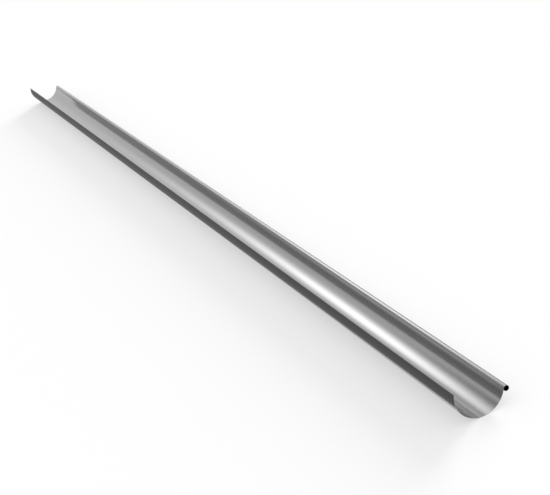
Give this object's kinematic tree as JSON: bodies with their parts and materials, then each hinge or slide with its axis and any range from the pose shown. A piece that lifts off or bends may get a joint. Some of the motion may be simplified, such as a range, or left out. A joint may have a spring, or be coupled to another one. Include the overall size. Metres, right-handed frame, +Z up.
{
  "type": "half-round gutter section",
  "caption": "Straight length of half-round steel rain gutter, open on top, with a rolled bead along the front edge, a plain back edge and square-cut ends.",
  "frame": {"origin": "on the floor, under the middle of the bounding box: halfway along the gutter, and halfway between the bead's outermost line and the trough's outermost line", "axes": "X runs along the gutter; -Y is the front with the rolled bead, +Y the back with the plain edge; +Z is up. The gutter is stored as it comes to rest on a level floor, rolled 18.2 degrees about X towards its bead; the trough's axis is at y 4.735 mm, z 62.5 mm"},
  "size_m": [4, 0.1344, 0.0819],
  "materials": {
    "zinc_coated_steel": "satin"
  },
  "bodies": {
    "root": {"gutter_section": "zinc_coated_steel"}
  },
  "joints": []
}
